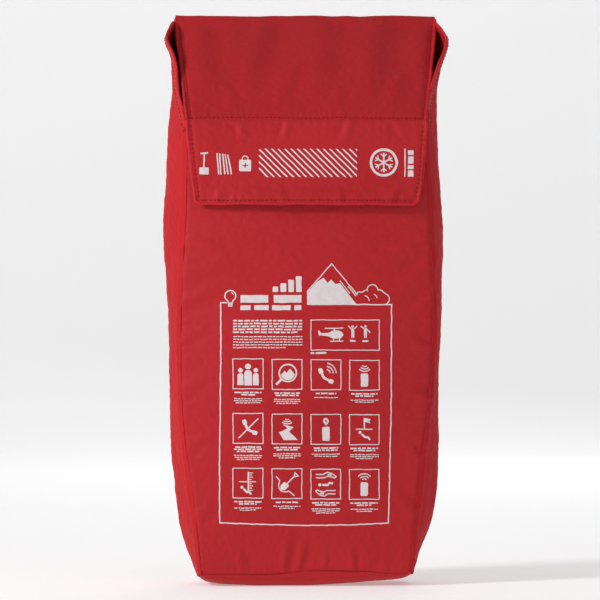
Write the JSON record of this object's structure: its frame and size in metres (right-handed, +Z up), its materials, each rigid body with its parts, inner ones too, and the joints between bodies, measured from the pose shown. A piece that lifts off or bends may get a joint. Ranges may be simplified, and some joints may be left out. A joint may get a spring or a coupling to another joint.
{
  "type": "rescue tool pouch",
  "caption": "Tall gusseted cloth pouch for snow rescue tools, with a fold-over flap held by a hook-and-loop closure, two inner sleeves and printed pictures.",
  "frame": {"origin": "middle of the bounding box's underside, on the floor the pouch stands on", "axes": "+Z up the pouch's height, -Y out of its front, +X to the viewer's right when looking at the front"},
  "size_m": [0.25, 0.0935, 0.501],
  "materials": {
    "red_nylon": "satin",
    "gusset_nylon": "satin",
    "inner_nylon": "matte",
    "seam_tape": "matte",
    "edge_cloth": "satin",
    "hook_tape": "matte",
    "loop_tape": "matte",
    "print_ink": "matte"
  },
  "bodies": {
    "pouch": {"back_panel": "red_nylon", "front_panel": "red_nylon", "left_gusset": "gusset_nylon", "right_gusset": "gusset_nylon", "base_panel": "red_nylon", "base_binding": "seam_tape", "left_front_binding": "seam_tape", "right_front_binding": "seam_tape", "left_back_binding": "seam_tape", "right_back_binding": "seam_tape", "front_mouth_binding": "edge_cloth", "left_mouth_binding": "edge_cloth", "right_mouth_binding": "edge_cloth", "top_seam_roll": "edge_cloth", "probe_sleeve": "inner_nylon", "shaft_sleeve": "inner_nylon", "probe_sleeve_binding": "edge_cloth", "shaft_sleeve_binding": "edge_cloth", "loop_panel": "loop_tape", "print_frame": "print_ink", "print_tiles": "print_ink", "print_heading": "print_ink", "print_mountain": "print_ink"},
    "flap": {"flap_panel": "red_nylon", "flap_lining": "inner_nylon", "left_flap_piping": "edge_cloth", "right_flap_piping": "edge_cloth"},
    "flap_band": {"band_panel": "red_nylon", "band_lining": "inner_nylon", "band_piping": "edge_cloth", "hook_panel": "hook_tape", "print_tools": "print_ink", "print_hatch": "print_ink", "print_emblem": "print_ink"}
  },
  "joints": [
    {"name": "flap_hinge", "type": "hinge", "parent": "pouch", "child": "flap", "pos_m": [0, 0.043, 0.498], "axis": [-1, 0, 0], "range_deg": [0, 270]},
    {"name": "band_fold", "type": "hinge", "parent": "flap", "child": "flap_band", "pos_m": [0, -0.0416, 0.405], "axis": [-1, 0, 0], "range_deg": [0, 100]}
  ]
}
